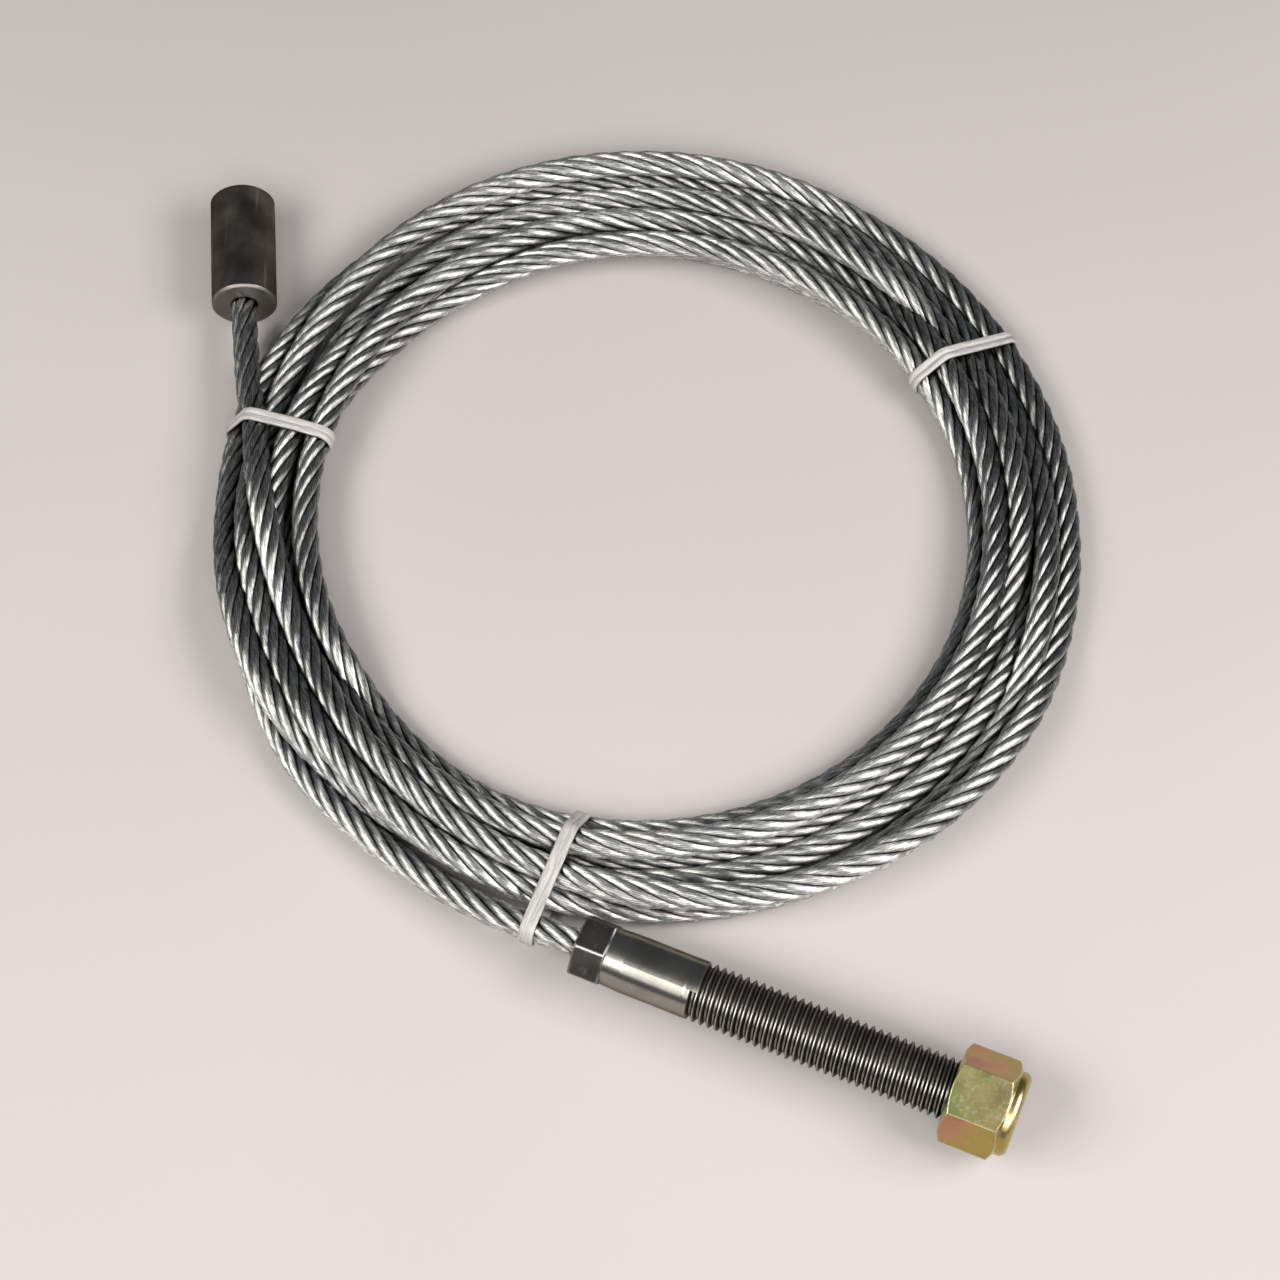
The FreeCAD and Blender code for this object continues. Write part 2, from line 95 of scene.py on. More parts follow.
# Each turn of the coil, read from the camera's side: the angle round the coil in degrees, the radius
# where the line of sight meets the height READ_AT, and a first guess of the rope's height.
TURNS = [
    [
        (225, 146.1, 5.65), (210, 143.5, 5.65), (200, 141.2, 5.65), (192, 138.2, 5.65), (184, 133.5, 5.65),
        (176, 128, 5.65), (168, 122.5, 5.65), (160, 117.8, 5.65), (150, 115.1, 5.65), (135, 114, 5.65),
        (120, 114, 5.65), (105, 114.3, 5.65), (90, 114.5, 6), (75, 114.5, 7), (60, 114.2, 8), (45, 114, 8),
        (30, 113.9, 7), (15, 114, 5.65), (0, 114.1, 5.65), (-15, 115.4, 5.65), (-30, 116.5, 5.65),
        (-45, 117.8, 5.65), (-60, 119, 5.65), (-75, 120.6, 5.65), (-90, 120.8, 5.65),
    ],
    [
        (255, 121.1, 5.65), (240, 118.8, 5.65), (225, 116.4, 5.65), (210, 114.9, 5.65), (195, 114.75, 7),
        (180, 115.1, 9), (165, 117, 12), (150, 119.4, 13), (135, 122.1, 12), (120, 123.5, 9),
        (105, 125.1, 7), (90, 125.6, 6), (75, 125.5, 6), (60, 124.8, 7), (45, 123.9, 9), (30, 122.6, 12),
        (15, 121.1, 13.5), (0, 120.4, 13.5), (-15, 120.4, 13.5), (-30, 120.7, 13.5), (-45, 121.4, 13.5),
        (-60, 122.2, 13.5), (-75, 123, 13.5), (-90, 124.1, 13),
    ],
    [
        (255, 125.5, 11), (240, 123, 8), (225, 121.5, 6), (210, 120.8, 5.65), (195, 120.8, 5.65),
        (180, 121, 5.65), (170, 121.8, 5.65), (160, 124.4, 6), (150, 127.2, 7), (135, 129.5, 8),
        (120, 133.3, 9), (105, 135.3, 9.5), (90, 136.3, 9.5), (75, 134.6, 11), (60, 133, 12),
        (45, 130.2, 12), (30, 128.3, 10), (15, 127.2, 8), (0, 127.3, 7), (-15, 126.3, 6),
        (-30, 126.3, 5.65), (-45, 126.6, 5.65), (-60, 126.7, 5.65), (-75, 127.5, 5.65), (-90, 127, 5.65),
    ],
    [
        (255, 129.5, 5.65), (240, 129, 5.65), (225, 128, 5.65), (210, 127.5, 5.65), (200, 127.3, 8),
        (190, 127.3, 12), (180, 127.3, 14.5), (170, 127, 14.5), (160, 126, 10), (150, 124.5, 5.65),
        (135, 122, 5.65), (120, 119.5, 5.65), (105, 117, 5.65), (90, 115, 5.65), (75, 113.4, 5.65),
        (60, 112.5, 5.65), (45, 112.8, 5.65), (30, 118, 5.65), (15, 124.5, 5.65), (0, 130, 5.65),
        (-15, 133, 5.65), (-30, 133.6, 5.65), (-45, 134.2, 5.65), (-60, 134.7, 5.65), (-75, 135.3, 5.65),
        (-90, 136, 5.65),
    ],
    [
        (255, 137.5, 5.65), (240, 140, 5.65), (225, 141, 7), (210, 140.5, 9), (195, 139.6, 9),
        (180, 140.9, 7), (165, 142.5, 5.65), (150, 144, 5.65), (135, 144.3, 5.65), (120, 144.3, 5.65),
        (105, 144, 5.65), (90, 143.3, 5.65), (75, 141, 5.65), (60, 138.5, 5.65), (45, 137, 5.65),
        (30, 135, 5.65), (15, 134.6, 6), (0, 135.4, 8), (-10, 136, 9), (-20, 137.5, 9), (-30, 139.5, 8),
        (-40, 141.9, 6.5), (-50, 144.2, 5.65), (-60, 146.3, 5.65), (-70, 146.4, 5.65), (-80, 146.3, 5.65),
        (-90, 145.3, 6), (-97, 144, 7),
    ],
    [
        (255, 143, 12), (250, 142, 13), (240, 138.9, 13.3), (230, 136.2, 13.3), (225, 134.9, 13),
        (215, 133.6, 12), (200, 133.2, 11), (185, 133.2, 9), (175, 133, 8), (165, 134.3, 9),
        (160, 135.5, 11), (155, 136.8, 13), (150, 138.2, 13.5), (145, 139.8, 13.5), (135, 143.5, 14),
        (125, 146.5, 14), (120, 148.8, 13), (110, 150.2, 10), (105, 150.9, 8), (100, 151.4, 6.5),
        (90, 151.8, 5.65), (75, 149.6, 5.65), (60, 147, 5.65), (45, 144.2, 5.65), (30, 142.4, 7),
        (15, 142, 8), (0, 142.9, 8), (-15, 144.6, 10), (-30, 146.6, 12), (-45, 147.9, 13), (-60, 147.8, 14),
        (-70, 147, 14.5), (-80, 144.5, 14.5), (-90, 141, 14.3), (-95, 139, 14),
    ],
    [
        (258, 136, 14), (250, 132.8, 14), (245, 130.2, 14), (240, 128.9, 14), (230, 126, 14),
        (225, 124.7, 14), (215, 123, 14), (210, 122.6, 14), (200, 123, 14), (195, 124, 14),
        (190, 124.9, 14.5), (185, 126.7, 16), (180, 129, 17.5), (175, 132.3, 18.5), (170, 136, 19),
        (165, 139.8, 19),
    ],
]

# The straps: the CAD node, the way it points across the bundle in degrees, and how deep its groove is.
STRAPS = [("tie_left", 166.0, 0.25), ("tie_right", 29.4, 0.55), ("tie_bottom", 249.0, 0.2)]


# ---------------------------------------------------------------- the rope's line


def heading(degrees):
    """The level direction at that angle from +X."""
    return np.array([math.cos(math.radians(degrees)), math.sin(math.radians(degrees)), 0.0])


def sight_slope(radius, angle):
    """How far outward a point seen from the camera seems to move for each millimetre it rises."""
    x = COIL_X + radius * np.cos(angle) - CAMERA_AT[0]
    y = COIL_Y + radius * np.sin(angle) - CAMERA_AT[1]
    return (x * np.cos(angle) + y * np.sin(angle)) / (CAMERA_AT[2] - READ_AT)


def smoothed(values, times):
    values = values.copy()
    for _ in range(times):
        values[1:-1] = 0.25 * values[:-2] + 0.5 * values[1:-1] + 0.25 * values[2:]
    return values


def eased(values, share):
    """Each value moves that share of the way to the middle of its neighbours."""
    values = values.copy()
    values[1:-1] += share * (0.5 * (values[:-2] + values[2:]) - values[1:-1])
    return values


def settled_turns():
    """The coil's turns as points in millimetres, one every so many degrees.

    The readings of TURNS are joined up, and then the turns push each other apart where two would share the
    same space and sink where nothing holds them up, while each stays near where the camera sees it."""
    step, rounds, apart, hold, sink = 7.5, 1500, 9.1, 0.10, 0.08
    push_share_out, push_share_up = 0.35, 0.7
    ease_out, ease_up = 0.10, 0.06
    rows = [(angle - 360.0 * k, r, z) for k, turn in enumerate(TURNS) for angle, r, z in turn]
    rows.sort(reverse=True)
    read_angle, read_radius, read_height = np.array(rows).T
    angles = np.arange(read_angle[0], read_angle[-1] - 0.01, -step)
    seen = smoothed(np.interp(-angles, -read_angle, read_radius), 3)
    height = smoothed(np.interp(-angles, -read_angle, read_height), 3)
    turned = np.radians(angles)
    slope = sight_slope(seen, turned)
    apparent = seen.copy()
    per_turn = round(360.0 / step)
    for _ in range(rounds):
        radius = apparent - slope * (height - READ_AT)
        push_out, push_up = np.zeros_like(radius), np.zeros_like(height)
        for gap in range(per_turn, len(radius), per_turn):
            across = radius[gap:] - radius[:-gap]
            above = height[gap:] - height[:-gap]
            distance = np.hypot(across, above) + 1e-9
            push = 0.5 * np.clip(apart - distance, 0.0, None) / distance
            push_out[gap:] += push_share_out * push * across
            push_out[:-gap] -= push_share_out * push * across
            push_up[gap:] += push_share_up * push * above
            push_up[:-gap] -= push_share_up * push * above
        height = height + push_up
        moved = radius + push_out + slope * (height - READ_AT)
        apparent = eased(moved + hold * (seen - moved), ease_out)
        height = np.maximum(height - sink * (height > LOWEST), LOWEST)
        height = np.maximum(eased(height, ease_up), LOWEST)
    radius = apparent - slope * (height - READ_AT)
    return np.column_stack([COIL_X + radius * np.cos(turned), COIL_Y + radius * np.sin(turned), height])


def rope_points():
    """The control points of the whole rope, in millimetres, from inside the stud to inside the plug."""
    stud, plug = heading(STUD_HEADING), heading(PLUG_HEADING)
    stud_mouth, plug_mouth = np.array(STUD_MOUTH), np.array(PLUG_MOUTH)
    start = [stud_mouth + STUD_SEATED * stud, stud_mouth, stud_mouth - STUD_RUN_OUT * stud]
    end = [plug_mouth - PLUG_RUN_OUT * plug, plug_mouth, plug_mouth + PLUG_SEATED * plug]
    return np.vstack([start, STUD_ROUTE, settled_turns(), PLUG_ROUTE, end])


def curve_line(points):
    """The smooth curve through those control points, as a dense row of points in millimetres."""
    curve = bpy.data.curves.new("rope_line", "CURVE")
    curve.dimensions = "3D"
    curve.resolution_u = 8
    spline = curve.splines.new("NURBS")
    spline.points.add(len(points) - 1)
    for knot, point in zip(spline.points, points):
        knot.co = (*(point * MM), 1.0)
    spline.order_u = 3
    spline.use_endpoint_u = True
    holder = bpy.data.objects.new("rope_line", curve)
    mesh = bpy.data.meshes.new_from_object(holder)
    line = np.empty(3 * len(mesh.vertices))
    mesh.vertices.foreach_get("co", line)
    bpy.data.objects.remove(holder)
    bpy.data.curves.remove(curve)
    bpy.data.meshes.remove(mesh)
    return line.reshape(-1, 3) / MM


def evenly_spaced(line, step):
    """The same line with a point about every step, and how far along it each one is."""
    along = np.concatenate([[0.0], np.cumsum(np.linalg.norm(np.diff(line, axis=0), axis=1))])
    places = np.linspace(0.0, along[-1], int(along[-1] / step) + 1)
    return np.column_stack([np.interp(places, along, column) for column in line.T]), places


def unit(vectors):
    return vectors / np.linalg.norm(vectors, axis=-1, keepdims=True)


def carried_frame(line):
    """Across and up directions at each point, turning as little as the line allows."""
    along = unit(np.gradient(line, axis=0))
    across = np.empty_like(line)
    side = np.cross(along[0], (0.0, 0.0, 1.0))
    for i, forward in enumerate(along):
        side = side - forward * np.dot(side, forward)
        side = side / np.linalg.norm(side)
        across[i] = side
    return across, np.cross(along, across)


# ---------------------------------------------------------------- meshes


def new_piece(name, vertices, faces):
    """A smooth-shaded mesh object from corners in millimetres."""
    mesh = bpy.data.meshes.new(name)
    mesh.from_pydata((vertices * MM).tolist(), [], faces)
    mesh.update()
    mesh.polygons.foreach_set("use_smooth", [True] * len(mesh.polygons))
    piece = bpy.data.objects.new(name, mesh)
    bpy.context.scene.collection.objects.link(piece)
    return piece


def tube_faces(rings, sides, first):
    """The faces of a tube of quads whose vertices are numbered ring by ring from first, with both ends shut."""
    faces = []
    for i in range(rings - 1):
        here, there = first + i * sides, first + (i + 1) * sides
        for j in range(sides):
            k = (j + 1) % sides
            faces.append((here + j, here + k, there + k, there + j))
    faces.append(tuple(first + j for j in reversed(range(sides))))
    faces.append(tuple(first + (rings - 1) * sides + j for j in range(sides)))
    return faces


def make_rope(line, places):
    """Six strands laid right-handed round a core. Its UV map's U goes round a strand, and V along the rope in
    turns of the strand's wires, so that U + V stays the same along a wire. Its attribute "crown" is 1 on the
    outside of the rope and falls towards the valleys between the strands."""
    across, up = carried_frame(line)
    middle = ROPE / 2 - STRAND_RADIUS
    lean = math.tan(2.0 * math.pi * middle / LAY)
    wire_turn = 2.0 * math.pi * STRAND_RADIUS / lean * math.cos(math.atan(lean))
    around = 2.0 * math.pi * (np.arange(STRAND_SIDES) / STRAND_SIDES) + math.pi
    vertices, faces, uvs, crowns = [], [], [], []
    for k in range(STRANDS):
        turned = 2.0 * math.pi * (places / LAY + k / STRANDS)
        outward = np.cos(turned)[:, None] * across + np.sin(turned)[:, None] * up
        centre = line + middle * outward
        forward = unit(np.gradient(centre, axis=0))
        sideways = np.cross(forward, outward)
        rings = (
            centre[:, None, :]
            + STRAND_RADIUS * np.cos(around)[None, :, None] * outward[:, None, :]
            + STRAND_RADIUS * np.sin(around)[None, :, None] * sideways[:, None, :]
        )
        crown = np.linalg.norm(rings - line[:, None, :], axis=2) / (ROPE / 2)
        faces += tube_faces(len(line), STRAND_SIDES, sum(len(v) for v in vertices))
        vertices.append(rings.reshape(-1, 3))
        crowns.append(crown.ravel())
        uvs.append(strand_uvs(places / wire_turn, STRAND_SIDES))
    core_line, core_across, core_up = line[::2], across[::2], up[::2]
    core_around = 2.0 * math.pi * np.arange(CORE_SIDES) / CORE_SIDES
    core = (
        core_line[:, None, :]
        + CORE_RADIUS * np.cos(core_around)[None, :, None] * core_across[:, None, :]
        + CORE_RADIUS * np.sin(core_around)[None, :, None] * core_up[:, None, :]
    )
    faces += tube_faces(len(core_line), CORE_SIDES, sum(len(v) for v in vertices))
    vertices.append(core.reshape(-1, 3))
    crowns.append(np.full(len(core_line) * CORE_SIDES, CORE_RADIUS / (ROPE / 2)))
    uvs.append(strand_uvs(places[::2] / wire_turn, CORE_SIDES))
    rope = new_piece("wire_rope", np.vstack(vertices), faces)
    wires = np.vstack(uvs)
    grain = np.column_stack([wires[:, 1], wires.sum(axis=1)])
    rope.data.uv_layers.new(name="wires").data.foreach_set("uv", wires.ravel())
    rope.data.uv_layers.new(name="grain").data.foreach_set("uv", grain.ravel())
    rope.data.attributes.new("crown", "FLOAT", "POINT").data.foreach_set("value", np.concatenate(crowns))
    return rope


def strand_uvs(turns, sides):
    """The UVs of one strand's faces in tube_faces' order, the two end faces last."""
    j = np.arange(sides) / sides
    u = np.stack([j, j + 1.0 / sides, j + 1.0 / sides, j], axis=1)
    whole = np.floor(turns[:-1, None, None])
    quads = np.empty((len(turns) - 1, sides, 4, 2))
    quads[..., 0] = u[None]
    quads[..., 0:2, 1] = turns[:-1, None, None] - whole
    quads[..., 2:4, 1] = turns[1:, None, None] - whole
    return np.vstack([quads.reshape(-1, 2), np.zeros((2 * sides, 2))])


def convex_outline(points):
    """The corners of the smallest convex outline round flat points, anticlockwise."""
    points = sorted(map(tuple, points))

    def half(row):
        kept = []
        for p in row:
            while len(kept) > 1:
                (ax, ay), (bx, by) = kept[-2], kept[-1]
                if (bx - ax) * (p[1] - ay) - (by - ay) * (p[0] - ax) > 0:
                    break
                kept.pop()
            kept.append(p)
        return kept[:-1]

    return np.array(half(points) + half(points[::-1]))


def crossings(line, middle, across, forward, reach):
    """Where the line passes through the upright plane at middle, as (distance across, height)."""
    ahead = (line - middle) @ forward
    found = []
    for i in np.nonzero(ahead[:-1] * ahead[1:] <= 0)[0]:
        share = ahead[i] / (ahead[i] - ahead[i + 1])
        point = line[i] + share * (line[i + 1] - line[i])
        if abs((point - middle) @ across) < reach:
            found.append(((point - middle) @ across, point[2]))
    return found


def strap_profile(groove):
    """The strap's cross-section as (place across it, height off the ropes), with a groove down its middle."""
    half, shoulder = STRAP_WIDE / 2, 0.75 * STRAP_THICK
    left = [
        (-half, 0.0), (-half, shoulder), (-0.86 * half, STRAP_THICK), (-0.2 * half, STRAP_THICK),
        (-0.08 * half, STRAP_THICK - groove),
    ]
    return left + [(-wide, thick) for wide, thick in reversed(left)]


def make_strap(node, degrees, groove, line):
    """A flat strap pulled tight round the ropes that pass through its plane. Its UV map gives the distance
    across the strap and the distance along it, in metres."""
    low, high = (np.array(corner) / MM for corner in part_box(node))
    middle = (low + high) / 2
    middle[2] = 0.0
    across = heading(degrees)
    forward = heading(degrees + 90.0)
    slack, spacing = 0.12, 0.9
    radius = ROPE / 2 + slack
    outline = [
        (u + radius * math.cos(turn), z + radius * math.sin(turn))
        for u, z in crossings(line, middle, across, forward, STRAP_REACH)
        for turn in np.linspace(0.0, 2.0 * math.pi, 48, endpoint=False)
    ]
    hull = convex_outline(outline)
    loop, _ = evenly_spaced(np.vstack([hull, hull[:1]]), spacing)
    loop = loop[:-1]
    tangent = unit(np.roll(loop, -1, axis=0) - np.roll(loop, 1, axis=0))
    normal = np.column_stack([tangent[:, 1], -tangent[:, 0]])
    profile = strap_profile(groove)
    vertices = []
    for (u, z), (nu, nz) in zip(loop, normal):
        for wide, thick in profile:
            point = middle + across * (u + nu * thick) + forward * wide
            vertices.append((point[0], point[1], max(z + nz * thick, 0.0)))
    sides, rings = len(profile), len(loop)
    faces = []
    for i in range(rings):
        for j in range(sides):
            k, n = (j + 1) % sides, (i + 1) % rings
            faces.append((i * sides + j, i * sides + k, n * sides + k, n * sides + j))
    strap = new_piece(node.replace("tie", "strap"), np.array(vertices), faces)
    wide = np.array([place for place, _ in profile])
    uvs = np.empty((rings, sides, 4, 2))
    uvs[..., 0] = np.stack([wide, np.roll(wide, -1), np.roll(wide, -1), wide], axis=1)
    uvs[..., 0:2, 1] = spacing * np.arange(rings)[:, None, None]
    uvs[..., 2:4, 1] = spacing * np.arange(1, rings + 1)[:, None, None]
    strap.data.uv_layers.new(name="strip").data.foreach_set("uv", (uvs * MM).ravel())
    return strap


# ---------------------------------------------------------------- materials


class Nodes:
    """A material's node tree, with one method for each kind of node that this file uses."""

    def __init__(self, name):
        self.material = bpy.data.materials.new(name)
        self.material.use_nodes = True
        self.tree = self.material.node_tree
        self.shader = self.tree.nodes["Principled BSDF"]

    def add(self, kind, **settings):
        node = self.tree.nodes.new(kind)
        for key, value in settings.items():
            setattr(node, key, value)
        return node

    def link(self, source, target):
        self.tree.links.new(source, target)

    def put(self, socket, value):
        """A value is typed into a socket, and another node's output is linked to it."""
        if isinstance(value, bpy.types.NodeSocket):
            self.link(value, socket)
        else:
            socket.default_value = value

    def math(self, operation, a, b=0.0, clamp=False):
        node = self.add("ShaderNodeMath", operation=operation, use_clamp=clamp)
        self.put(node.inputs[0], a)
        self.put(node.inputs[1], b)
        return node.outputs[0]

    def times(self, product, *factors):
        for factor in factors:
            product = self.math("MULTIPLY", product, factor)
        return product

    def scaled(self, value, low, high, to_low=0.0, to_high=1.0):
        """The value carried from the span low to high into the span to_low to to_high, and held inside it."""
        node = self.add("ShaderNodeMapRange", clamp=True)
        for socket, given in zip(node.inputs, (value, low, high, to_low, to_high)):
            self.put(socket, given)
        return node.outputs[0]

    def noise(self, scale, detail=2.0, stretch=(1.0, 1.0, 1.0), turn=0.0, shift=0.0, uv_map=None):
        """Noise from 0 to 1 over the object or a UV map, scale features to the metre."""
        place = self.add("ShaderNodeMapping")
        place.inputs["Location"].default_value = (shift, shift, shift)
        place.inputs["Rotation"].default_value = (0.0, 0.0, math.radians(turn))
        place.inputs["Scale"].default_value = stretch
        if uv_map:
            self.link(self.add("ShaderNodeUVMap", uv_map=uv_map).outputs["UV"], place.inputs["Vector"])
        else:
            self.link(self.add("ShaderNodeTexCoord").outputs["Object"], place.inputs["Vector"])
        node = self.add("ShaderNodeTexNoise")
        node.inputs["Scale"].default_value = scale
        node.inputs["Detail"].default_value = detail
        self.link(place.outputs["Vector"], node.inputs["Vector"])
        return node.outputs["Fac"]

    def clouds(self, scale, detail, shift=0.0):
        """Soft patches from 0 to 1."""
        return self.scaled(self.noise(scale, detail, shift=shift), 0.35, 0.65)

    def mix(self, share, a, b):
        node = self.add("ShaderNodeMix", data_type="RGBA")
        self.put(node.inputs["Factor"], share)
        self.put(node.inputs["A"], a)
        self.put(node.inputs["B"], b)
        return node.outputs["Result"]

    def ramp(self, value, *stops):
        node = self.add("ShaderNodeValToRGB")
        bar = node.color_ramp.elements
        while len(bar) < len(stops):
            bar.new(0.5)
        for element, (place, colour) in zip(bar, stops):
            element.position = place
            element.color = colour
        self.link(value, node.inputs["Fac"])
        return node.outputs["Color"]

    def bump(self, height, distance):
        """The surface normal over a height from 0 to 1 that stands for that many millimetres."""
        node = self.add("ShaderNodeBump")
        node.inputs["Strength"].default_value = 1.0
        node.inputs["Distance"].default_value = distance * MM
        self.link(height, node.inputs["Height"])
        return node.outputs["Normal"]

    def rounded_edges(self, radius):
        """The surface normal with its edges rounded off, and a mask that is 1 on those edges."""
        bevel = self.add("ShaderNodeBevel", samples=4)
        bevel.inputs["Radius"].default_value = radius * MM
        flat = self.add("ShaderNodeNewGeometry").outputs["Normal"]
        same = self.add("ShaderNodeVectorMath", operation="DOT_PRODUCT")
        self.link(bevel.outputs["Normal"], same.inputs[0])
        self.link(flat, same.inputs[1])
        return bevel.outputs["Normal"], self.scaled(same.outputs["Value"], 0.995, 0.86)

    def openness(self, reach, shut, free, darkest):
        """1 on a free surface, down to darkest where other surfaces stand within reach millimetres: a mask for
        painted shade.
        """
        node = self.add("ShaderNodeAmbientOcclusion", samples=6)
        node.inputs["Distance"].default_value = reach * MM
        return self.scaled(node.outputs["AO"], shut, free, darkest, 1.0)

    def along(self, origin, direction):
        """How far along a line each point of the object is, in millimetres."""
        less = self.add("ShaderNodeVectorMath", operation="SUBTRACT")
        self.link(self.add("ShaderNodeTexCoord").outputs["Object"], less.inputs[0])
        less.inputs[1].default_value = tuple(np.array(origin) * MM)
        part = self.add("ShaderNodeVectorMath", operation="DOT_PRODUCT")
        self.link(less.outputs["Vector"], part.inputs[0])
        part.inputs[1].default_value = tuple(direction)
        return self.times(part.outputs["Value"], 1.0 / MM)

    def finish(self, colour, metallic, roughness, normal=None, **constants):
        self.put(self.shader.inputs["Base Color"], colour)
        self.shader.inputs["Metallic"].default_value = metallic
        self.put(self.shader.inputs["Roughness"], roughness)
        if normal is not None:
            self.link(normal, self.shader.inputs["Normal"])
        for name, value in constants.items():
            self.shader.inputs[name.replace("_", " ")].default_value = value
        return self.material


def grey(level, warm=0.0):
    """A grey, a little redder for a warm above 0 and a little bluer below it."""
    return (level * (1.0 + warm), level, level * (1.0 - warm), 1.0)


def galvanised_rope():
    """Zinc-coated wires, bright on their crowns, with painted shade that darkens the valleys between the
    strands, the gaps between the ropes and the grooves between the wires of a strand. Each wire is as bright as
    chance has it, and changes some times in a turn. The gloss runs across the wires, as it does on a bundle of
    thin round bars."""
    changes, seed_gap = 9.0, 31.0
    n = Nodes("galvanised_rope")
    parts = n.add("ShaderNodeSeparateXYZ")
    n.link(n.add("ShaderNodeUVMap", uv_map="wires").outputs["UV"], parts.inputs["Vector"])
    wire = n.times(n.math("ADD", parts.outputs["X"], parts.outputs["Y"]), float(WIRES))
    offset = n.math("SUBTRACT", n.times(n.math("FRACT", wire), 2.0), 1.0)
    ridge = n.math("SUBTRACT", 1.0, n.times(offset, offset))
    number = n.math("FLOOR", n.math("MODULO", wire, float(WIRES)))
    stretch = n.math("FLOOR", n.times(n.math("FRACT", parts.outputs["Y"]), changes))
    glint = n.add("ShaderNodeTexWhiteNoise", noise_dimensions="1D")
    n.link(n.math("ADD", number, n.times(stretch, seed_gap)), glint.inputs["W"])
    crown = n.add("ShaderNodeAttribute", attribute_name="crown")
    # Painted shade: the colour grows darker towards the valleys between the strands.
    valley_shade = n.scaled(crown.outputs["Fac"], 0.60, 0.84, 0.22, 1.0)
    patches = n.clouds(35.0, 3.0)
    specks = n.scaled(n.noise(900.0, 2.0, shift=3.0), 0.3, 0.7)
    bright = n.scaled(glint.outputs["Value"], 0.0, 1.0, 0.5, 1.0)
    # Painted shade: darker in the grooves between the wires of a strand.
    groove = n.scaled(ridge, 0.05, 0.6, 0.2, 1.0)
    zinc = n.mix(patches, (0.56, 0.57, 0.56, 1.0), (0.73, 0.735, 0.72, 1.0))
    # Painted shade: darker where other ropes stand within 4.5 mm.
    gap = n.openness(4.5, 0.28, 0.8, 0.08)
    shade = n.times(valley_shade, bright, n.scaled(specks, 0.0, 1.0, 0.8, 1.0), gap, groove)
    colour = n.mix(shade, grey(0.02, 0.1), zinc)
    roughness = n.scaled(n.math("ADD", patches, specks), 0.0, 2.0, 0.34, 0.48)
    n.link(n.add("ShaderNodeTangent", direction_type="UV_MAP", uv_map="grain").outputs["Tangent"],
           n.shader.inputs["Tangent"])
    return n.finish(colour, 1.0, roughness, n.bump(ridge, 0.03), Anisotropic=0.9, Anisotropic_Rotation=0.25)


def strap_plastic():
    """Greyish-white nylon with lengthwise streaks."""
    n = Nodes("strap_plastic")
    lengthwise = (1.0, 0.05, 1.0)
    streaks = n.scaled(n.noise(2200.0, 3.0, stretch=lengthwise, uv_map="strip"), 0.42, 0.62)
    fine = n.scaled(n.noise(5200.0, 2.0, stretch=lengthwise, shift=0.4, uv_map="strip"), 0.35, 0.65)
    cloud = n.clouds(90.0, 3.0, shift=2.0)
    colour = n.mix(cloud, grey(0.29, 0.02), grey(0.38, 0.025))
    colour = n.mix(n.times(streaks, 0.6), colour, grey(0.12, 0.01))
    colour = n.mix(n.times(fine, 0.3), colour, grey(0.48, 0.02))
    return n.finish(
        colour, 0.0, n.scaled(streaks, 0.0, 1.0, 0.35, 0.55), n.bump(fine, 0.06),
        Subsurface_Weight=0.1, Subsurface_Scale=0.002, IOR=1.5,
    )


def plug_steel():
    """Dark satin steel, turned bright round the edge where the rope goes in, with its edges lightened as wear
    and as painted highlights.
    """
    n = Nodes("plug_steel")
    place = n.along(PLUG_MOUTH, heading(PLUG_HEADING))
    normal, edge = n.rounded_edges(0.5)
    clouds = n.clouds(60.0, 4.0)
    scratches = n.scaled(n.noise(500.0, 2.0, stretch=(1.0, 0.04, 1.0), turn=PLUG_HEADING - 90.0), 0.62, 0.72)
    colour = n.mix(clouds, (0.08, 0.072, 0.064, 1.0), (0.145, 0.132, 0.118, 1.0))
    face = n.scaled(place, PLUG_LONG - 0.6, PLUG_LONG - 0.2)
    rim = n.scaled(place, 1.2, 0.6)
    ends = n.times(n.math("MAXIMUM", face, rim), 0.3)
    # The edges are lightened as wear and as painted edge highlights. The turned end face and the rim at the
    # mouth are lightened as a finish.
    worn_and_highlit = n.math("MAXIMUM", n.times(edge, 0.8), ends)
    colour = n.mix(n.math("MAXIMUM", worn_and_highlit, n.times(scratches, 0.35)), colour, grey(0.36, 0.05))
    roughness = n.scaled(clouds, 0.0, 1.0, 0.4, 0.52)
    return n.finish(colour, 1.0, roughness, normal, Specular_Tint=(0.35, 0.33, 0.30, 1.0))


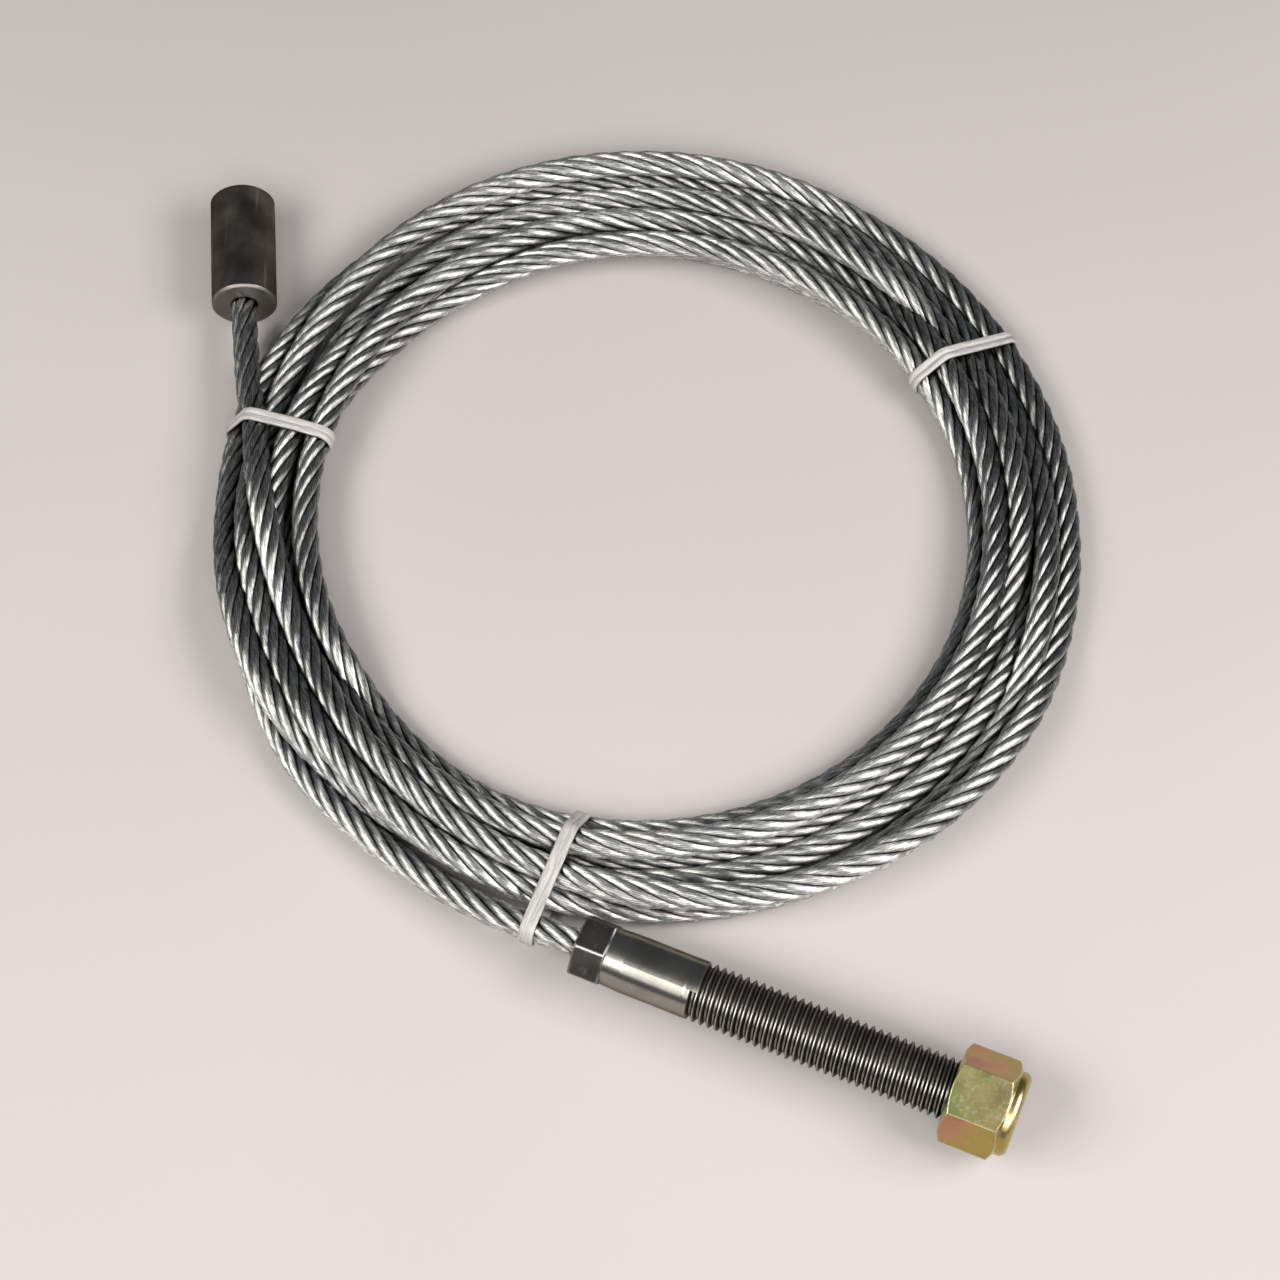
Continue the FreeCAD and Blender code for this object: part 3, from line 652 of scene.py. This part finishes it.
def stud_steel():
    """A near-black hexagon, a polished shank and an oiled dark thread on one turned bar, with painted shade in
    the thread's roots and other narrow gaps, and with edges lightened as wear and as painted highlights.
    """
    n = Nodes("stud_steel")
    place = n.along(STUD_MOUTH, heading(STUD_HEADING))
    rounded, edge = n.rounded_edges(1.1)
    clouds = n.clouds(80.0, 4.0)
    scuffs = n.scaled(n.noise(450.0, 3.0, shift=5.0), 0.58, 0.72)
    hexagon = n.scaled(place, *HEXAGON_ENDS)
    shank = n.scaled(place, *SHANK_ENDS)
    dark = n.mix(clouds, grey(0.05, 0.03), grey(0.10, 0.06))
    oiled = n.mix(clouds, (0.10, 0.092, 0.074, 1.0), (0.19, 0.176, 0.14, 1.0))
    polished = n.mix(clouds, (0.27, 0.26, 0.235, 1.0), (0.35, 0.34, 0.31, 1.0))
    colour = n.mix(shank, oiled, polished)
    colour = n.mix(hexagon, colour, dark)
    plain = n.math("SUBTRACT", shank, hexagon, clamp=True)
    # The edges are lightened as wear and as painted edge highlights, most on the hexagon. The scuffs are wear.
    rubbed_and_highlit_edges = n.times(edge, n.math("SUBTRACT", 0.85, n.times(plain, 0.6)))
    bare_and_highlit = n.math("MAXIMUM", rubbed_and_highlit_edges, n.times(scuffs, 0.15))
    colour = n.mix(bare_and_highlit, colour, grey(0.65, 0.02))
    # Painted shade: near-black in the thread's roots and other gaps narrower than 2 mm.
    colour = n.mix(n.openness(2.0, 0.35, 0.85, 0.2), grey(0.01, 0.1), colour)
    normal = n.mix(hexagon, n.add("ShaderNodeNewGeometry").outputs["Normal"], rounded)
    roughness = n.scaled(hexagon, 0.0, 1.0, n.scaled(shank, 0.0, 1.0, 0.34, 0.23), 0.4)
    return n.finish(colour, 1.0, roughness, normal, Specular_Tint=(0.45, 0.42, 0.35, 1.0))


def nut_zinc():
    """Yellow-passivated zinc. The film is olive to green on two opposite flats, and shifts from salmon pink to
    gold along and across the others. Its edges are lightened as wear and as painted highlights."""
    n = Nodes("nut_zinc")
    normal, edge = n.rounded_edges(0.45)
    up, side, roll = np.array((0.0, 0.0, 1.0)), heading(STUD_HEADING + 90.0), math.radians(NUT_ROLL)
    tilt = n.add("ShaderNodeVectorMath", operation="DOT_PRODUCT")
    n.link(n.add("ShaderNodeTexCoord").outputs["Normal"], tilt.inputs[0])
    tilt.inputs[1].default_value = tuple(math.sin(roll) * up + math.cos(roll) * side)
    leaning = n.scaled(n.math("ABSOLUTE", tilt.outputs["Value"]), 0.25, 0.7)
    far = n.scaled(n.along(STUD_MOUTH, heading(STUD_HEADING)), NUT_FROM, NUT_TO)
    low = n.scaled(n.along(STUD_MOUTH, -up), -11.0, 9.0)
    clouds = n.clouds(90.0, 4.0)
    drift = n.math("ADD", n.times(n.math("ADD", far, low), 0.4), n.times(clouds, 0.3))
    warm = n.ramp(
        drift,
        (0.1, (0.44, 0.19, 0.13, 1.0)), (0.32, (0.47, 0.26, 0.12, 1.0)), (0.52, (0.40, 0.30, 0.08, 1.0)),
    )
    cool = n.ramp(
        n.math("ADD", n.times(far, 0.55), n.times(clouds, 0.45)),
        (0.1, (0.30, 0.39, 0.13, 1.0)), (0.32, (0.43, 0.40, 0.16, 1.0)), (0.85, (0.50, 0.40, 0.18, 1.0)),
    )
    film = n.mix(leaning, cool, warm)
    scuffs = n.scaled(n.noise(850.0, 6.0, shift=8.0), 0.46, 0.76)
    worn_patch = n.scaled(n.noise(130.0, 2.0, shift=4.0), 0.4, 0.62, 0.25, 1.0)
    scuffed = n.times(scuffs, worn_patch, n.scaled(leaning, 0.0, 1.0, 0.8, 0.1))
    # The edges are lightened to pale gold as wear and as painted edge highlights. The scuffs are wear.
    colour = n.mix(n.math("MAXIMUM", n.times(edge, 0.8), scuffed), film, (0.80, 0.74, 0.54, 1.0))
    roughness = n.scaled(n.noise(150.0, 2.0), 0.3, 0.7, 0.27, 0.33)
    return n.finish(colour, 1.0, roughness, normal)


def insert_nylon():
    """The nut's locking ring, pale nylon."""
    n = Nodes("insert_nylon")
    cloud = n.clouds(200.0, 2.0)
    colour = n.mix(cloud, (0.62, 0.62, 0.56, 1.0), (0.75, 0.74, 0.68, 1.0))
    return n.finish(colour, 0.0, n.scaled(cloud, 0.0, 1.0, 0.35, 0.5), Subsurface_Weight=0.1, IOR=1.5)


def floor_paper():
    """The pale floor that the object lies on."""
    n = Nodes("floor_paper")
    cloud = n.scaled(n.noise(3.0, 2.0), 0.3, 0.7)
    colour = n.mix(cloud, (0.325, 0.307, 0.304, 1.0), (0.341, 0.323, 0.320, 1.0))
    return n.finish(colour, 0.0, 0.9, Specular_IOR_Level=0.1)


def dress(piece, material):
    piece.data.materials.clear()
    piece.data.materials.append(material)


# ---------------------------------------------------------------- studio


def place_camera():
    camera = bpy.data.objects.new("camera", bpy.data.cameras.new("camera"))
    camera.data.lens = LENS
    camera.data.sensor_width = SENSOR
    camera.location = Vector(CAMERA_AT) * MM
    camera.rotation_euler = (Vector(LOOK_AT) - Vector(CAMERA_AT)).to_track_quat("-Z", "Y").to_euler()
    bpy.context.scene.collection.objects.link(camera)
    bpy.context.scene.camera = camera


def area_light(name, location, target, wide, high, power, colour):
    """A soft rectangular light. Places and sizes are in metres, and the power is in watts."""
    lamp = bpy.data.lights.new(name, "AREA")
    lamp.shape = "RECTANGLE"
    lamp.size = wide
    lamp.size_y = high
    lamp.energy = power
    lamp.color = colour
    light = bpy.data.objects.new(name, lamp)
    light.location = location
    light.rotation_euler = (Vector(target) - Vector(location)).to_track_quat("-Z", "Y").to_euler()
    bpy.context.scene.collection.objects.link(light)


def make_studio():
    """The floor, the world's weak light, and the lamps. Only far_floor isn't aimed at the object: it lights the
    floor behind the camera, which side and back views show."""
    corners = FLOOR_REACH * np.array([(-1.0, -1.0, 0.0), (1.0, -1.0, 0.0), (1.0, 1.0, 0.0), (-1.0, 1.0, 0.0)])
    floor = new_piece("floor", corners, [(0, 1, 2, 3)])
    dress(floor, floor_paper())
    world = bpy.data.worlds.new("studio")
    world.use_nodes = True
    sky = world.node_tree.nodes["Background"]
    sky.inputs["Color"].default_value = (0.86, 0.93, 1.0, 1.0)
    sky.inputs["Strength"].default_value = 0.12
    bpy.context.scene.world = world
    bpy.context.scene.view_settings.view_transform = "Standard"
    middle = Vector((0.02, 0.02, 0.0))
    area_light("left", (-0.76, -0.37, 0.90), middle, 0.9, 0.55, 18.5, (1.0, 0.97, 0.92))
    area_light("right", (0.88, -0.28, 0.86), middle, 0.9, 0.5, 20.5, (1.0, 0.97, 0.94))
    area_light("front", (0.06, -0.90, 0.92), middle, 0.6, 0.4, 6.0, (1.0, 0.98, 0.96))
    area_light("far_floor", (0.0, -3.6, 2.6), (0.0, -3.6, 0.0), 6.0, 3.0, 110.0, (1.0, 0.98, 0.96))


# ---------------------------------------------------------------- the object

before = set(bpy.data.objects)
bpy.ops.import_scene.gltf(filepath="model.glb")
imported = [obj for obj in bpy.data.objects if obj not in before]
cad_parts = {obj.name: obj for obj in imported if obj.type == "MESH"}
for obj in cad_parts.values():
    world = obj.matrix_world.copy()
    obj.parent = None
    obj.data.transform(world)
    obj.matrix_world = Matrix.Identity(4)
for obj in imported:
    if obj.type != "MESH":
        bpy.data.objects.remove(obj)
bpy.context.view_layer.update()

place_camera()
line, places = evenly_spaced(curve_line(rope_points()), LAY / RINGS_PER_LAY)
rope = make_rope(line, places)
dress(rope, galvanised_rope())
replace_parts(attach(rope, "cable"), "rope_coil", "rope_stud_tail", "rope_plug_tail")

plastic = strap_plastic()
for node, degrees, groove in STRAPS:
    strap = make_strap(node, degrees, groove, line)
    dress(strap, plastic)
    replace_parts(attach(strap, "cable"), node)

dress(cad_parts["stop_plug"], plug_steel())
dress(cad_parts["threaded_stud"], stud_steel())
dress(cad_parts["lock_nut"], nut_zinc())
dress(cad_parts["nut_insert"], insert_nylon())

make_studio()
